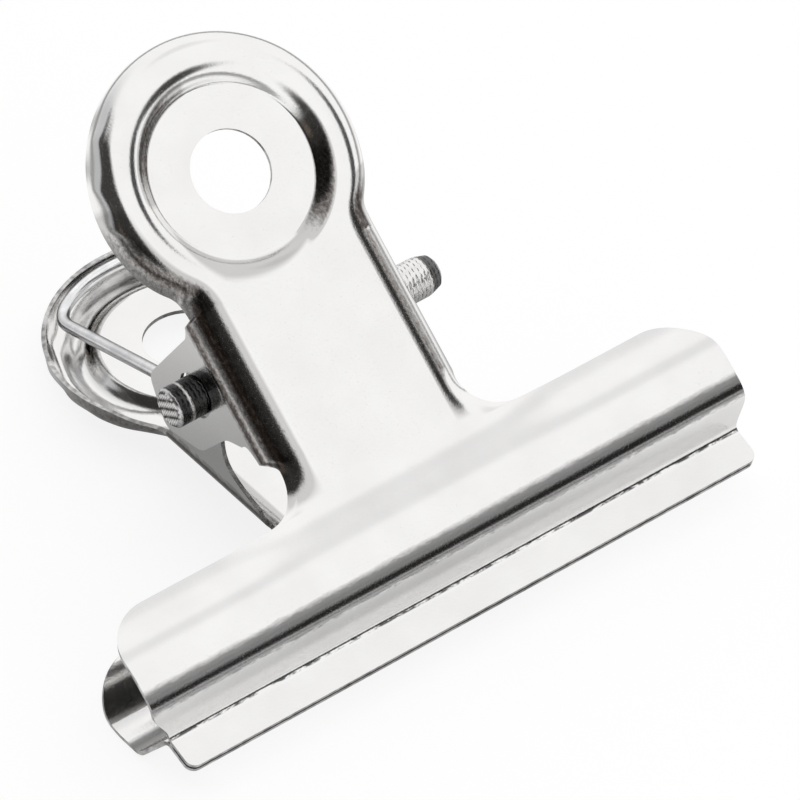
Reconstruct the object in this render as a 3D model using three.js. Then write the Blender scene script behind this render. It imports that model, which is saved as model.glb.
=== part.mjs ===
// Round-head letter clip in polished sheet steel, millimetres, +Z up.
// It lies on its back: the rear thumb disc and the rear jaw touch the ground.
// Each jaw is one flat blank, pressed and folded: a wide curved gripping jaw, a neck with two
// folded ears, and a dished thumb disc with a turned rim. A pin through the four ears hinges the
// jaws, and one bent wire, coiled round the pin on both sides, pushes the discs apart.
// Everything is drawn in the upright clip's own axes, x across, y towards the rear, z from the lips
// up to the discs, and turned as a whole at the end.
import * as THREE from 'three';

// Sheet
const sheetThickness = 0.5;
const lipGap = 0.3;

// Gripping jaw
const lipWidth = 76;
const lipHeight = 4.2;
const lipCornerRadius = 1.2;
const shelfDepth = 4.3;
const shelfRise = 1.9;
const bulgeDepth = 6.9;
const bulgeHeight = 11;
const bulgeOverhang = 1.5;
const overhangRise = 3.6;
const wingTop = 17.4;
const wingCornerRadius = 6.2;
const wingCurl = 0.9;
const wingCurlStart = 12;
const wingCurlSpan = 12;
const creaseRadius = 0.8;
const shelfRadius = 1.5;
const bulgeRadius = 8;

// Neck and shoulders
const waistHeight = 17;
const waistDepth = 5.9;
const waistRadius = 8;
const webLean = THREE.MathUtils.degToRad(21);
const shoulderRadius = 5;
const shoulderEdgeDepth = 1.4;

// Thumb disc, round its centre on the leaning web
const discHeight = 51.1;
const rimRadius = 15.8;
const rimBend = 2.6;
const rimDepth = 3.4;
const recessFloor = 9.4;
const recessEdge = 10.9;
const recessDepth = 1.3;
const hangingHole = 4.7;
const notchDepth = 2.2;
const notchBelow = 12.2;
const foldHollow = 4;
const wallHollow = 2.5;

// Ears: the front pair outside and a little splayed, the rear pair between them
const frontHalfWidth = 12.6;
const frontTurn = THREE.MathUtils.degToRad(83.5);
const rearTurn = Math.PI / 2;
const earClearance = 0.6;
const earBend = 3;
const rearRootReach = 6;
const tabWall = 1;

// Pin
const pinHeight = 36;
const pinOffset = 4.3;
const pinSlip = 1;
const pinRadius = 2.35;
const pinProtrusion = 5.2;
const pinHoleClearance = 0.35;
const pinChamfer = 0.35;

// Spring wire
const wireRadius = 0.75;
const coilTurns = 3;
const stepsPerTurn = 12;
const coilGap = 0.5;
const wireClearance = 0.3;
const coilClearance = 0.3;
const bailInset = 2.6;
const bailCorner = 2.4;
const legHalfWidth = 9.6;
const tailRise = 7.5;

const rearHalfWidth = frontHalfWidth - sheetThickness - earClearance;
const pinHole = pinRadius + pinHoleClearance;
const lipFace = lipGap / 2 + sheetThickness;

const steel = new THREE.MeshStandardMaterial({ color: 0xd9d8d6, roughness: 0.22, metalness: 1 });
const rearSteel = steel.clone();
const pinSteel = new THREE.MeshStandardMaterial({ color: 0xa9a8a4, roughness: 0.45, metalness: 1 });
const wireSteel = new THREE.MeshStandardMaterial({ color: 0xc4c4c4, roughness: 0.3, metalness: 1 });

const smooth = (x) => {
  const c = THREE.MathUtils.clamp(x, 0, 1);
  return c * c * (3 - 2 * c);
};
const mix = THREE.MathUtils.lerp;

// A path through corners [x, y, radius], with every corner rounded by a true arc.
function roundedPath(corners) {
  const path = new THREE.Path();
  path.moveTo(corners[0][0], corners[0][1]);
  for (let i = 1; i < corners.length - 1; i += 1) {
    const corner = new THREE.Vector2(corners[i][0], corners[i][1]);
    const before = new THREE.Vector2(corners[i - 1][0], corners[i - 1][1]).sub(corner).normalize();
    const after = new THREE.Vector2(corners[i + 1][0], corners[i + 1][1]).sub(corner).normalize();
    const half = Math.acos(THREE.MathUtils.clamp(before.dot(after), -1, 1)) / 2;
    const radius = corners[i][2];
    const start = corner.clone().addScaledVector(before, radius / Math.tan(half));
    const end = corner.clone().addScaledVector(after, radius / Math.tan(half));
    const middle = before.clone().add(after).normalize();
    const centre = corner.clone().addScaledVector(middle, radius / Math.sin(half));
    const from = start.clone().sub(centre).angle();
    const to = end.clone().sub(centre).angle();
    path.lineTo(start.x, start.y);
    path.absarc(centre.x, centre.y, radius, from, to, before.cross(after) > 0);
  }
  const last = corners[corners.length - 1];
  path.lineTo(last[0], last[1]);
  return path;
}

// Where the rows of a path fall: the ends of its lines and arcs, and even steps inside each arc.
function rowsAlong(path, arcSteps, lineSteps = 1) {
  const rows = [0];
  const lengths = path.getCurveLengths();
  path.curves.forEach((curve, i) => {
    const from = i === 0 ? 0 : lengths[i - 1];
    const steps = curve.isLineCurve ? lineSteps : arcSteps;
    for (let k = 1; k <= steps; k += 1) {
      rows.push(mix(from, lengths[i], k / steps));
    }
  });
  return rows.filter((row, i) => i === 0 || row - rows[i - 1] > 1e-6);
}

// Side profile of the outer face: lip, shelf, bulge, waist and the straight leaning web.
const webSlope = Math.tan(webLean);
const discDepth = waistDepth + (discHeight - waistHeight) * webSlope;
const profileTop = discHeight + rimRadius;
const profile = roundedPath([
  [lipFace, 0],
  [lipFace, lipHeight, creaseRadius],
  [lipFace + shelfDepth, lipHeight + shelfRise, shelfRadius],
  [bulgeDepth, bulgeHeight, bulgeRadius],
  [waistDepth, waistHeight, waistRadius],
  [waistDepth + (profileTop - waistHeight) * webSlope, profileTop],
]);
const profileLength = profile.getLength();

function profileAt(t) {
  const point = profile.getPoint(t / profileLength);
  const tangent = profile.getTangent(t / profileLength);
  return { depth: point.x, height: point.y, out: new THREE.Vector2(tangent.y, -tangent.x) };
}

// Distance along the profile at which it reaches a height.
function lengthAtHeight(height) {
  let low = 0;
  let high = profileLength;
  for (let i = 0; i < 40; i += 1) {
    const middle = (low + high) / 2;
    if (profileAt(middle).height < height) {
      low = middle;
    } else {
      high = middle;
    }
  }
  return low;
}

const wingLength = lengthAtHeight(wingTop);
const bulgeLength = lengthAtHeight(bulgeHeight);
const discLength = lengthAtHeight(discHeight);

// A point of the pressed sheet: s across, t along the profile, inward below the outer face.
// The wings curl in towards their top edge.
function sheetPoint(s, t, inward) {
  const at = profileAt(t);
  const wing = smooth((Math.abs(s) - wingCurlStart) / wingCurlSpan);
  const rise = THREE.MathUtils.clamp((t - bulgeLength) / (wingLength - bulgeLength), 0, 1);
  const depth = inward + wingCurl * wing * rise * rise;
  return new THREE.Vector3(s, at.depth - depth * at.out.x, at.height - depth * at.out.y);
}

// Half width of the jaw: rounded lip corner, barrel-shaped end, rounded top corner.
function jawHalfWidth(t) {
  const lip = lipWidth / 2;
  const barrel = bulgeOverhang * smooth((t - lipHeight) / overhangRise);
  let cut = 0;
  if (t < lipCornerRadius) {
    const rest = lipCornerRadius - t;
    cut = lipCornerRadius - Math.sqrt(lipCornerRadius ** 2 - rest ** 2);
  }
  const toTop = wingLength - t;
  if (toTop < wingCornerRadius) {
    const rest = wingCornerRadius - toTop;
    cut = wingCornerRadius - Math.sqrt(Math.max(0, wingCornerRadius ** 2 - rest ** 2));
  }
  return lip + barrel - cut;
}

// Closed sheet of even thickness from the quads of its outer face. Shared points are welded, each
// point moves inward along its mean normal, and every open edge gets a wall.
function thicken(quads) {
  const keys = new Map();
  const points = [];
  const weld = (p) => {
    const key = [p.x, p.y, p.z].map((v) => Math.round(v * 1e4)).join(' ');
    if (!keys.has(key)) {
      keys.set(key, points.length);
      points.push(p.clone());
    }
    return keys.get(key);
  };
  const triangles = [];
  quads.forEach((quad) => {
    const [a, b, c, d] = quad.map(weld);
    [[a, b, c], [a, c, d]].forEach((tri) => {
      if (new Set(tri).size === 3) {
        triangles.push(tri);
      }
    });
  });
  const normals = points.map(() => new THREE.Vector3());
  const edges = new Map();
  triangles.forEach(([a, b, c]) => {
    const ab = points[b].clone().sub(points[a]);
    const ac = points[c].clone().sub(points[a]);
    const normal = ab.cross(ac);
    [a, b, c].forEach((i) => normals[i].add(normal));
    [[a, b], [b, c], [c, a]].forEach(([i, j]) => edges.set(`${i} ${j}`, [i, j]));
  });
  const inner = points.map((p, i) => p.clone().addScaledVector(normals[i].normalize(), -sheetThickness));
  const offset = points.length;
  const index = [];
  triangles.forEach(([a, b, c]) => {
    index.push(a, b, c, a + offset, c + offset, b + offset);
  });
  edges.forEach(([i, j]) => {
    if (!edges.has(`${j} ${i}`)) {
      index.push(i, i + offset, j + offset, i, j + offset, j);
    }
  });
  const geometry = new THREE.BufferGeometry();
  const all = points.concat(inner);
  const numbers = all.flatMap((p) => p.toArray());
  geometry.setAttribute('position', new THREE.Float32BufferAttribute(numbers, 3));
  geometry.setIndex(index);
  return geometry;
}

// Quads between neighbouring rows of points. The rows run up the sheet and each row runs outwards.
function patch(rows) {
  const quads = [];
  for (let i = 0; i < rows.length - 1; i += 1) {
    for (let j = 0; j < rows[i].length - 1; j += 1) {
      quads.push([rows[i][j], rows[i][j + 1], rows[i + 1][j + 1], rows[i + 1][j]]);
    }
  }
  return quads;
}

const webColumns = 3;
const bendColumns = 4;
const wingColumns = 3;
const shoulderSteps = 5;
const flankSteps = 3;
const earSteps = 7;
const rootSteps = 3;
const neckTopSteps = 2;
const rimSteps = 16;
const footSpokes = 4;

// One pressed jaw, drawn as the front one: x across, outward depth, height.
function jawGeometry(side) {
  const foldDepth = earBend * (1 - Math.cos(side.turn));
  const foldHalfWidth = side.halfWidth - earBend * Math.sin(side.turn);
  const bendWidth = (edgeDepth) => Math.sqrt(edgeDepth * (2 * earBend - edgeDepth));
  const neckEdge = foldHalfWidth + bendWidth(shoulderEdgeDepth);
  const shoulderStart = neckEdge + shoulderRadius;
  const earFoot = discLength + side.earFoot;
  const earTop = discLength + side.earTop;
  const neckTop = discLength - notchBelow;

  // Fold from the web to an edge at a depth, as an arc that reaches the given width.
  const foldRow = (foldS, width, edgeDepth, shift) => {
    const turn = 2 * Math.atan2(edgeDepth, width);
    const row = [];
    for (let k = 1; k <= bendColumns; k += 1) {
      const angle = (turn * k) / bendColumns;
      const across = (width * Math.sin(angle)) / Math.sin(turn);
      const down = turn > 0 ? (edgeDepth * (1 - Math.cos(angle))) / (1 - Math.cos(turn)) : 0;
      row.push(shift(foldS, across, down, k / bendColumns));
    }
    return row;
  };
  const webRow = (t, sag) => {
    const row = [];
    for (let k = 0; k <= webColumns; k += 1) {
      const s = (foldHalfWidth * k) / webColumns;
      row.push(sheetPoint(s, t - sag(s), 0));
    }
    return row;
  };
  const straight = () => 0;
  // From the foot of the ear on, the rows sag more and more towards the circle that closes the
  // disc's own rows of spokes.
  const footRadius = Math.hypot(foldHalfWidth, notchBelow);
  const sagAt = (t) => {
    const share = THREE.MathUtils.clamp((t - earFoot) / (neckTop - earFoot), 0, 1);
    return (s) => share * (Math.sqrt(footRadius ** 2 - s ** 2) - notchBelow);
  };
  const neckRow = (t, width, edgeDepth) => webRow(t, sagAt(t)).concat(
    foldRow(foldHalfWidth, width, edgeDepth, (s, across, down) => sheetPoint(s + across, t, down)),
  );

  // Gripping jaw: the columns of the neck run on down, and the wing columns follow them.
  const jawRows = rowsAlong(profile, 4).filter((t) => t < wingLength - 1e-3);
  const cornerRows = [0.25, 0.7, 1];
  cornerRows.forEach((share) => jawRows.push(lipCornerRadius * share));
  [0.35, 0.75, 0.95].forEach((share) => jawRows.push(wingLength - wingCornerRadius * (1 - share)));
  jawRows.push(wingLength);
  jawRows.sort((a, b) => a - b);
  const rowsOfJaw = jawRows.map((t) => {
    const end = jawHalfWidth(t);
    const row = webRow(t, straight);
    for (let k = 1; k <= bendColumns; k += 1) {
      const turn = k / bendColumns;
      row.push(sheetPoint(mix(foldHalfWidth, shoulderStart, turn), t, 0));
    }
    for (let k = 1; k <= wingColumns; k += 1) {
      row.push(sheetPoint(mix(shoulderStart, end, k / wingColumns), t, 0));
    }
    return row;
  });

  // Shoulder: the edge leaves the wing along a quarter circle while the fold deepens.
  const neckRows = [rowsOfJaw[rowsOfJaw.length - 1].slice(0, webColumns + bendColumns + 1)];
  for (let k = 1; k <= shoulderSteps; k += 1) {
    const angle = ((Math.PI / 2) * k) / shoulderSteps;
    const t = wingLength + shoulderRadius * (1 - Math.cos(angle));
    const width = shoulderStart - shoulderRadius * Math.sin(angle) - foldHalfWidth;
    const edgeDepth = shoulderEdgeDepth * smooth(k / shoulderSteps);
    neckRows.push(neckRow(t, width, Math.max(edgeDepth, 0.02)));
  }
  // Flank: the fold turns on to its full angle at the foot of the ear.
  const shoulderTop = wingLength + shoulderRadius;
  for (let k = 1; k <= flankSteps; k += 1) {
    const t = mix(shoulderTop, earFoot, k / flankSteps);
    const edgeDepth = mix(shoulderEdgeDepth, foldDepth, (k / flankSteps) ** 2);
    neckRows.push(neckRow(t, bendWidth(edgeDepth), edgeDepth));
  }
  const bendLine = [neckRows[neckRows.length - 1].at(-1)];
  for (let k = 1; k <= earSteps; k += 1) {
    const t = mix(earFoot, earTop, k / earSteps);
    neckRows.push(neckRow(t, bendWidth(foldDepth), foldDepth));
    bendLine.push(neckRows[neckRows.length - 1].at(-1));
  }

  // Above the ear the fold eases into the notch below the disc.
  for (let k = 1; k <= neckTopSteps; k += 1) {
    const share = k / neckTopSteps;
    const t = mix(earTop, neckTop, share);
    const edgeDepth = mix(foldDepth, notchDepth, share);
    neckRows.push(neckRow(t, bendWidth(edgeDepth), edgeDepth));
  }

  // Ear: the flat flange beyond the fold. Its root narrows between two curves, and the rest is
  // ringed round the pin hole.
  const splay = 1 / Math.tan(side.turn);
  const earPoint = (depth, b) => {
    return sheetPoint(side.halfWidth + splay * (depth - foldDepth), discLength + b, depth);
  };
  const rootRows = [];
  for (let k = 0; k <= earSteps; k += 1) {
    const row = [];
    for (let j = 0; j <= rootSteps; j += 1) {
      const share = j / rootSteps;
      const low = side.neckLow - (side.neckLow - side.earFoot) * (1 - share) ** 4;
      const high = side.neckHigh + (side.earTop - side.neckHigh) * (1 - share) ** 2;
      row.push(new THREE.Vector2(mix(foldDepth, side.rootDepth, share), mix(low, high, k / earSteps)));
    }
    rootRows.push(row);
  }
  const earQuads = patch(rootRows.map((row) => row.map((p) => earPoint(p.x, p.y))));
  const hole = new THREE.Vector2(side.pinDepth, side.pinLength);
  const outline = roundedPath(side.earOutline);
  const outlineRows = rowsAlong(outline, 3, 3);
  const outlineLength = outline.getLength();
  const loop = rootRows.map((row) => row[rootSteps]);
  outlineRows.slice(1, -1).reverse().forEach((t) => loop.push(outline.getPoint(t / outlineLength)));
  const ringShares = [0, 0.5, 1];
  const ringPoint = (corner, share) => {
    const angle = Math.atan2(corner.y - hole.y, corner.x - hole.x);
    const onHole = new THREE.Vector2(Math.cos(angle), Math.sin(angle)).multiplyScalar(pinHole).add(hole);
    const p = corner.clone().lerp(onHole, share);
    return earPoint(p.x, p.y);
  };
  loop.forEach((corner, i) => {
    const next = loop[(i + 1) % loop.length];
    for (let k = 0; k < ringShares.length - 1; k += 1) {
      earQuads.push([
        ringPoint(corner, ringShares[k]),
        ringPoint(corner, ringShares[k + 1]),
        ringPoint(next, ringShares[k + 1]),
        ringPoint(next, ringShares[k]),
      ]);
    }
  });

  // Thumb disc: spokes from the hanging hole over the recess to the fold of the rim.
  const fold = new THREE.Path();
  const wall = new THREE.Path();
  rimPath(fold, foldHalfWidth, rimRadius - rimBend, foldHollow);
  rimPath(wall, foldHalfWidth + earBend, rimRadius, wallHollow);
  const discPoint = (s, b, inward) => sheetPoint(s, discLength + b, inward);
  const recess = (r) => recessDepth * (1 - smooth((r - recessFloor) / (recessEdge - recessFloor)));
  const ringRadii = [hangingHole, recessFloor - 0.2, mix(recessFloor, recessEdge, 0.4),
    mix(recessFloor, recessEdge, 0.75), recessEdge + 0.2];
  const spoke = (s, b) => {
    const angle = Math.atan2(b, s);
    const row = ringRadii.map((r) => discPoint(r * Math.cos(angle), r * Math.sin(angle), recess(r)));
    row.push(discPoint(s, b, 0));
    return row;
  };
  const spokes = [];
  for (let k = 0; k <= webColumns; k += 1) {
    const s = (foldHalfWidth * k) / webColumns;
    spokes.push(spoke(s, -Math.sqrt(footRadius ** 2 - s ** 2)));
  }
  const rimRows = [neckRows[neckRows.length - 1].slice(webColumns)];
  for (let k = 1; k <= rimSteps; k += 1) {
    const share = k / rimSteps;
    const p = fold.getPoint(share);
    const q = wall.getPoint(share);
    spokes.push(spoke(p.x, p.y));
    const settle = smooth(share * 5);
    const bend = mix(earBend, rimBend, settle);
    const edge = mix(notchDepth, rimDepth, settle);
    const curved = Math.min(edge, bend);
    const reach = Math.sqrt(curved * (2 * bend - curved)) / bend;
    const row = [discPoint(p.x, p.y, 0)];
    const turn = 2 * Math.atan2(curved, reach * bend);
    for (let j = 1; j <= bendColumns; j += 1) {
      const angle = (turn * j) / bendColumns;
      const across = (reach * Math.sin(angle)) / Math.sin(turn);
      const down = (curved * (1 - Math.cos(angle))) / (1 - Math.cos(turn));
      const extra = j === bendColumns ? edge - curved : 0;
      row.push(discPoint(mix(p.x, q.x, across), mix(p.y, q.y, across), down + extra));
    }
    rimRows.push(row);
  }

  const quads = patch(rowsOfJaw).concat(patch(neckRows), earQuads, patch(spokes), patch(rimRows));
  const mirrored = quads.map((quad) => quad.map((p) => new THREE.Vector3(-p.x, p.y, p.z)).reverse());
  const every = quads.concat(mirrored);
  if (!side.front) {
    return thicken(every.map((quad) => [...quad].reverse()));
  }
  return thicken(every.map((quad) => quad.map((p) => new THREE.Vector3(p.x, -p.y, p.z))));
}

// Half outline of the disc on the web, from the straight neck over a hollow corner to the top.
function rimPath(path, neckHalf, radius, hollow) {
  const centreS = neckHalf + hollow;
  const centreB = -Math.sqrt((radius + hollow) ** 2 - centreS ** 2);
  const meet = Math.atan2(centreB, centreS);
  path.moveTo(neckHalf, -notchBelow);
  path.lineTo(neckHalf, centreB);
  path.absarc(centreS, centreB, hollow, Math.PI, meet + Math.PI, true);
  path.absarc(0, 0, radius, meet, Math.PI / 2, false);
}

const leanOut = new THREE.Vector2(Math.cos(webLean), -Math.sin(webLean));
const leanUp = new THREE.Vector2(Math.sin(webLean), Math.cos(webLean));

// Depth below a web and distance along it from the disc centre, of a point at a depth and height.
function onWeb(depth, height) {
  const from = new THREE.Vector2(depth - discDepth, height - discHeight);
  return { inward: -from.dot(leanOut), along: from.dot(leanUp) };
}

const frontPin = onWeb(pinOffset, pinHeight);
const rearPin = onWeb(-pinOffset, pinHeight);

// An ear leaves its fold between earFoot and earTop and narrows to neckLow and neckHigh at
// rootDepth. From there its outline runs round the pin hole, as corners [inward, along the neck,
// radius].
const tabRadius = pinHole + tabWall;
const tabRound = tabRadius - 0.05;
const front = {
  front: true,
  halfWidth: frontHalfWidth,
  turn: frontTurn,
  pinDepth: frontPin.inward,
  pinLength: frontPin.along,
  earFoot: frontPin.along - 10,
  earTop: frontPin.along + 6.8,
  rootDepth: frontPin.inward - 3.4,
  neckLow: frontPin.along - 7.4,
  neckHigh: frontPin.along + 5.7,
};
front.earOutline = [
  [front.rootDepth, front.neckLow],
  [frontPin.inward - 1.2, frontPin.along - 5.8, 2.4],
  [frontPin.inward + 4.6, frontPin.along - 5.6, 2.2],
  [frontPin.inward + 8.9, frontPin.along - 1.3, 1.8],
  [frontPin.inward + 6.6, frontPin.along + 4.6, 1.8],
  [front.rootDepth, front.neckHigh],
];
const rear = {
  front: false,
  halfWidth: rearHalfWidth,
  turn: rearTurn,
  pinDepth: rearPin.inward,
  pinLength: rearPin.along,
  earFoot: rearPin.along - 8,
  earTop: rearPin.along + 9.2,
  rootDepth: rearPin.inward - rearRootReach,
  neckLow: rearPin.along - 1.6,
  neckHigh: rearPin.along + 4.8,
};
rear.earOutline = [
  [rear.rootDepth, rear.neckLow],
  [rearPin.inward - tabRadius, rearPin.along - 1.9, 0.8],
  [rearPin.inward - 1.9, rearPin.along - tabRadius, 1.2],
  [rearPin.inward + tabRadius, rearPin.along - tabRadius, tabRound],
  [rearPin.inward + tabRadius, rearPin.along + tabRadius, tabRound],
  [rear.rootDepth, rear.neckHigh],
];

// Pin: a straight rod with chamfered ends, lying across the clip.
function pinGeometry() {
  const half = frontHalfWidth + pinProtrusion;
  const profilePoints = [
    [0, -half],
    [pinRadius - pinChamfer, -half],
    [pinRadius, -half + pinChamfer],
    [pinRadius, half - pinChamfer],
    [pinRadius - pinChamfer, half],
    [0, half],
  ].map(([r, x]) => new THREE.Vector2(r, x));
  const geometry = new THREE.LatheGeometry(profilePoints, 32);
  geometry.rotateZ(-Math.PI / 2);
  return geometry;
}

// Spring: half of the wire's middle line, from the tail that presses the front web, down round the
// coil, up the leg and along the bail to the middle of the rear disc's rim.
function springHalf() {
  const radius = pinRadius + coilClearance + wireRadius;
  const pitch = 2 * wireRadius + coilGap;
  const outerX = rearHalfWidth - sheetThickness - wireClearance - wireRadius;
  const pin = new THREE.Vector2(-pinOffset, pinHeight);
  const webPoint = (inward, along, sign) => {
    const depth = discDepth + along * leanUp.x - inward * leanOut.x;
    const height = discHeight + along * leanUp.y - inward * leanOut.y;
    return new THREE.Vector2(sign * depth, height);
  };
  const seat = sheetThickness + wireClearance + wireRadius;

  // The tail runs from the near side of the coil to its seat inside the front web.
  const tailEnd = webPoint(seat, frontPin.along + tailRise, -1);
  const toTail = tailEnd.clone().sub(pin);
  const tailAngle = toTail.angle() + Math.acos(radius / toTail.length());

  // The leg runs from the far side of the coil to the rear disc's rim.
  const bailRadius = rimRadius - sheetThickness - wireClearance - wireRadius;
  const legTopB = Math.sqrt(bailRadius ** 2 - legHalfWidth ** 2);
  const legTop = webPoint(bailInset, legTopB, 1);
  const toLeg = legTop.clone().sub(pin);
  const legAngle = toLeg.angle() - Math.acos(radius / toLeg.length());
  const points = [];
  const push = (x, yz) => points.push(new THREE.Vector3(x, yz.x, yz.y));
  const onCoil = (angle) => {
    return new THREE.Vector2(radius * Math.cos(angle), radius * Math.sin(angle)).add(pin);
  };

  const lastTurn = THREE.MathUtils.euclideanModulo(legAngle - tailAngle, 2 * Math.PI);
  const turnSpan = 2 * Math.PI * coilTurns + lastTurn;
  const innerX = outerX - (pitch * turnSpan) / (2 * Math.PI);
  push(innerX, tailEnd);
  push(innerX, tailEnd.clone().lerp(onCoil(tailAngle), 0.5));
  const steps = Math.round((turnSpan / (2 * Math.PI)) * stepsPerTurn);
  for (let k = 0; k <= steps; k += 1) {
    const share = k / steps;
    push(mix(innerX, outerX, share), onCoil(tailAngle + turnSpan * share));
  }
  const legStart = onCoil(legAngle);
  const corner = new THREE.Vector3(legHalfWidth, legTop.x, legTop.y);
  const foot = new THREE.Vector3(outerX, legStart.x, legStart.y);
  const alongLeg = foot.clone().sub(corner).normalize();
  const startAngle = Math.atan2(legTopB, legHalfWidth);
  const bailPoint = (angle) => {
    const yz = webPoint(bailInset, bailRadius * Math.sin(angle), 1);
    return new THREE.Vector3(bailRadius * Math.cos(angle), yz.x, yz.y);
  };
  const afterAngle = startAngle + bailCorner / bailRadius;
  const before = corner.clone().addScaledVector(alongLeg, bailCorner);
  const after = bailPoint(afterAngle);
  for (let k = 1; k < 4; k += 1) {
    points.push(foot.clone().lerp(before, k / 4));
  }
  const bend = new THREE.QuadraticBezierCurve3(before, corner, after);
  bend.getPoints(5).forEach((p) => points.push(p));
  for (let k = 1; k <= 7; k += 1) {
    points.push(bailPoint(mix(afterAngle, Math.PI / 2, k / 7)));
  }
  return points;
}

// Round tube along a list of points, closed by a fan at each end.
function tubeGeometry(points, radius, sides) {
  const positions = [];
  const index = [];
  const tangents = points.map((p, i) => {
    const next = points[Math.min(i + 1, points.length - 1)];
    const last = points[Math.max(i - 1, 0)];
    return next.clone().sub(last).normalize();
  });
  const normal = new THREE.Vector3(1, 0, 0);
  points.forEach((p, i) => {
    normal.addScaledVector(tangents[i], -normal.dot(tangents[i])).normalize();
    const side = tangents[i].clone().cross(normal);
    for (let k = 0; k < sides; k += 1) {
      const angle = (2 * Math.PI * k) / sides;
      const rim = p.clone().addScaledVector(normal, radius * Math.cos(angle));
      rim.addScaledVector(side, radius * Math.sin(angle));
      positions.push(...rim.toArray());
    }
  });
  for (let i = 0; i < points.length - 1; i += 1) {
    for (let k = 0; k < sides; k += 1) {
      const a = i * sides + k;
      const b = i * sides + ((k + 1) % sides);
      index.push(a, b, b + sides, a, b + sides, a + sides);
    }
  }
  const last = (points.length - 1) * sides;
  for (let k = 1; k < sides - 1; k += 1) {
    index.push(0, k + 1, k, last, last + k, last + k + 1);
  }
  const geometry = new THREE.BufferGeometry();
  geometry.setAttribute('position', new THREE.Float32BufferAttribute(positions, 3));
  geometry.setIndex(index);
  return geometry;
}

function springGeometry() {
  const half = springHalf();
  const other = half.slice(0, -1).reverse().map((p) => new THREE.Vector3(-p.x, p.y, p.z));
  const points = half.concat(other);
  reportLeastGap(points);
  return tubeGeometry(points, wireRadius, 8);
}

// Least gap of the wire to itself, between points that are at least half a turn apart.
function reportLeastGap(points) {
  let least = Infinity;
  for (let i = 0; i < points.length; i += 1) {
    for (let j = i + stepsPerTurn / 2; j < points.length; j += 1) {
      least = Math.min(least, points[i].distanceTo(points[j]) - 2 * wireRadius);
    }
  }
  console.log(`least gap of the spring wire to itself: ${least.toFixed(2)} mm`);
}

function named(name, geometry, material) {
  const mesh = new THREE.Mesh(geometry, material);
  mesh.name = name;
  return mesh;
}

const pin = named('pivot_pin', pinGeometry(), pinSteel);
pin.position.set(pinSlip, -pinOffset, pinHeight);

const clip = new THREE.Group();
clip.add(named('front_jaw', jawGeometry(front), steel));
clip.add(named('rear_jaw', jawGeometry(rear), rearSteel));
clip.add(pin);
clip.add(named('spring', springGeometry(), wireSteel));

// Rest: the line from the rear jaw's bulge to the top of the rear disc lies on the ground.
const restLean = Math.atan2(
  discDepth + rimRadius * leanUp.x - bulgeDepth,
  discHeight + rimRadius * leanUp.y - bulgeHeight,
);
clip.rotation.x = restLean - Math.PI / 2;
clip.updateMatrixWorld(true);
const box = new THREE.Box3().setFromObject(clip, true);
clip.position.set(0, -(box.min.y + box.max.y) / 2, -box.min.z);

const group = new THREE.Group();
group.add(clip);

export default group;
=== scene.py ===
import math
import bpy
import bmesh
import numpy as np
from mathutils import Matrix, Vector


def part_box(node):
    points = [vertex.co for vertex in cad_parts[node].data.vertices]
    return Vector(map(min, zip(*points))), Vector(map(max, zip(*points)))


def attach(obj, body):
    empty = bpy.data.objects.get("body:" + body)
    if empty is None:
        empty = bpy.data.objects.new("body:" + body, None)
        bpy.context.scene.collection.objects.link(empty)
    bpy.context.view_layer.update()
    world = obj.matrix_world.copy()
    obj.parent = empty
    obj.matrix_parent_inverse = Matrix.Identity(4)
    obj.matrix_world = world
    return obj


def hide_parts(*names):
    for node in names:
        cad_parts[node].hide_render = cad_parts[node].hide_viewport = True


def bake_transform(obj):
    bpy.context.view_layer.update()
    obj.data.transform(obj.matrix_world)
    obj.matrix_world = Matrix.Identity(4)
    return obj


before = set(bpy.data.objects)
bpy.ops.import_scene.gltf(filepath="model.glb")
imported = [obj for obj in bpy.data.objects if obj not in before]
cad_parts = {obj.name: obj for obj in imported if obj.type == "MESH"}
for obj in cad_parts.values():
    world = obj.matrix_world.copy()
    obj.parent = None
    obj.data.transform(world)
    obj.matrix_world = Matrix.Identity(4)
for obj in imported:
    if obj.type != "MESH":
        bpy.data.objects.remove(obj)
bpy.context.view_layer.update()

# Sheet and gripping jaw
sheet_thickness = 0.5
lip_gap = 0.3
lip_width = 76
lip_height = 4.2
lip_corner_radius = 1.2
shelf_depth = 4.3
shelf_rise = 1.9
bulge_depth = 6.9
bulge_height = 11
bulge_overhang = 1.5
overhang_rise = 3.6
wing_top = 17.4
wing_corner_radius = 6.2
wing_curl = 0.9
wing_curl_start = 12
wing_curl_span = 12
crease_radius = 0.8
shelf_radius = 2.6
bulge_radius = 8
profile_easing = 0.5
cut_edge_round = 0.06

# Neck and shoulders
waist_height = 17
waist_depth = 5.9
waist_radius = 8
web_lean = math.radians(21)
shoulder_radius = 5
shoulder_edge_depth = 1.4

# Thumb disc
disc_height = 51.1
rim_radius = 15.8
rim_bend = 2.6
rim_depth = 3.4
rim_settle_rate = 5
rim_waves = 17
rim_wave_depth = 0.085
rim_wave_unevenness = 0.7
rim_wave_sharpness = 1.5
recess_floor = 9.75
recess_edge = 11.1
recess_depth = 1.3
recess_floor_round = 0.4
recess_edge_round = 3
hanging_hole = 4.7
notch_depth = 2.2
notch_below = 12.2
crescent_reach = 3.1
fold_hollow = 5.4
wall_hollow = 2.5

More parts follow.
